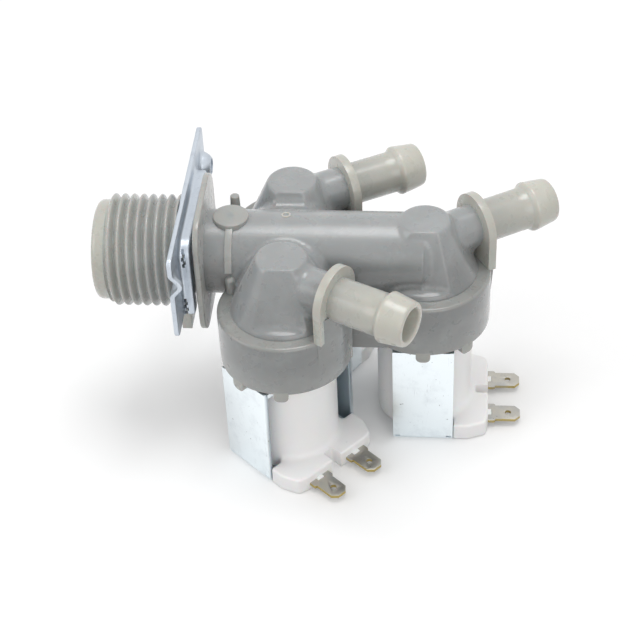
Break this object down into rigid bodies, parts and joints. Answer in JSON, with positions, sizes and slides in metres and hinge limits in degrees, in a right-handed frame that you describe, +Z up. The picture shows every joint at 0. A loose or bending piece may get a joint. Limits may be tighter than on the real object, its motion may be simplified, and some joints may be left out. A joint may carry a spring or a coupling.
{
  "type": "washing machine inlet valve",
  "caption": "Electric water inlet valve: threaded inlet with mounting plate, manifold, domed diaphragm valves on coils, and barbed hose nozzles.",
  "frame": {"origin": "on the axis of the threaded inlet, at the outer face of the mounting plate where it meets the machine's back panel", "axes": "+X along the inlet axis into the machine, +Z up through the domes with the coils hanging below, +Y towards the end of the plate with the screw boss"},
  "size_m": [0.1102, 0.0752, 0.0635],
  "materials": {
    "body_plastic": "satin light grey glass-filled moulding, faintly translucent",
    "plate_zinc": "zinc-plated pressed sheet",
    "strainer_plastic": "satin moulding",
    "holder_plastic": "satin moulding",
    "washer_rubber": "smooth moulded rubber",
    "tube_plastic": "satin moulding",
    "diaphragm_rubber": "smooth moulded rubber",
    "insert_plastic": "satin moulding",
    "armature_steel": "turned stainless steel",
    "seal_rubber": "smooth moulded rubber",
    "spring_steel": "drawn wire",
    "bobbin_plastic": "satin moulding",
    "winding_copper": "enamelled copper wire",
    "sleeve_steel": "zinc-plated rolled bush",
    "coil_plastic": "satin white overmould",
    "yoke_zinc": "bright zinc-plated sheet, bluish, with handling scratches",
    "terminal_brass": "tinned brass with bare sheared edges"
  },
  "bodies": {
    "valve": {"valve_body": "body_plastic", "mounting_plate": "plate_zinc", "inlet_strainer": "strainer_plastic", "flow_holder": "holder_plastic", "flow_washer": "washer_rubber", "front_guide_tube": "tube_plastic", "front_diaphragm": "diaphragm_rubber", "front_diaphragm_insert": "insert_plastic", "front_armature_spring": "spring_steel", "front_bobbin": "bobbin_plastic", "front_winding": "winding_copper", "front_lower_sleeve": "sleeve_steel", "front_upper_sleeve": "sleeve_steel", "front_coil_shell": "coil_plastic", "front_yoke": "yoke_zinc", "front_yoke_cap": "yoke_zinc", "front_terminal_right": "terminal_brass", "front_terminal_left": "terminal_brass", "rear_guide_tube": "tube_plastic", "rear_diaphragm": "diaphragm_rubber", "rear_diaphragm_insert": "insert_plastic", "rear_armature_spring": "spring_steel", "rear_bobbin": "bobbin_plastic", "rear_winding": "winding_copper", "rear_lower_sleeve": "sleeve_steel", "rear_upper_sleeve": "sleeve_steel", "rear_coil_shell": "coil_plastic", "rear_yoke": "yoke_zinc", "rear_yoke_cap": "yoke_zinc", "rear_terminal_right": "terminal_brass", "rear_terminal_left": "terminal_brass", "end_guide_tube": "tube_plastic", "end_diaphragm": "diaphragm_rubber", "end_diaphragm_insert": "insert_plastic", "end_armature_spring": "spring_steel", "end_bobbin": "bobbin_plastic", "end_winding": "winding_copper", "end_lower_sleeve": "sleeve_steel", "end_upper_sleeve": "sleeve_steel", "end_coil_shell": "coil_plastic", "end_yoke": "yoke_zinc", "end_yoke_cap": "yoke_zinc", "end_terminal_right": "terminal_brass", "end_terminal_left": "terminal_brass"},
    "front_plunger": {"front_armature": "armature_steel", "front_armature_seal": "seal_rubber"},
    "rear_plunger": {"rear_armature": "armature_steel", "rear_armature_seal": "seal_rubber"},
    "end_plunger": {"end_armature": "armature_steel", "end_armature_seal": "seal_rubber"}
  },
  "joints": [
    {"name": "front_lift", "type": "slide", "parent": "valve", "child": "front_plunger", "axis": [0, 0, -1], "range_m": [0, 0.0022], "stiffness_N_per_m": 150, "springref_m": -0.004, "deforming": ["front_armature_spring"]},
    {"name": "rear_lift", "type": "slide", "parent": "valve", "child": "rear_plunger", "axis": [0, 0, -1], "range_m": [0, 0.0022], "stiffness_N_per_m": 150, "springref_m": -0.004, "deforming": ["rear_armature_spring"]},
    {"name": "end_lift", "type": "slide", "parent": "valve", "child": "end_plunger", "axis": [0, 0, -1], "range_m": [0, 0.0022], "stiffness_N_per_m": 150, "springref_m": -0.004, "deforming": ["end_armature_spring"]}
  ]
}
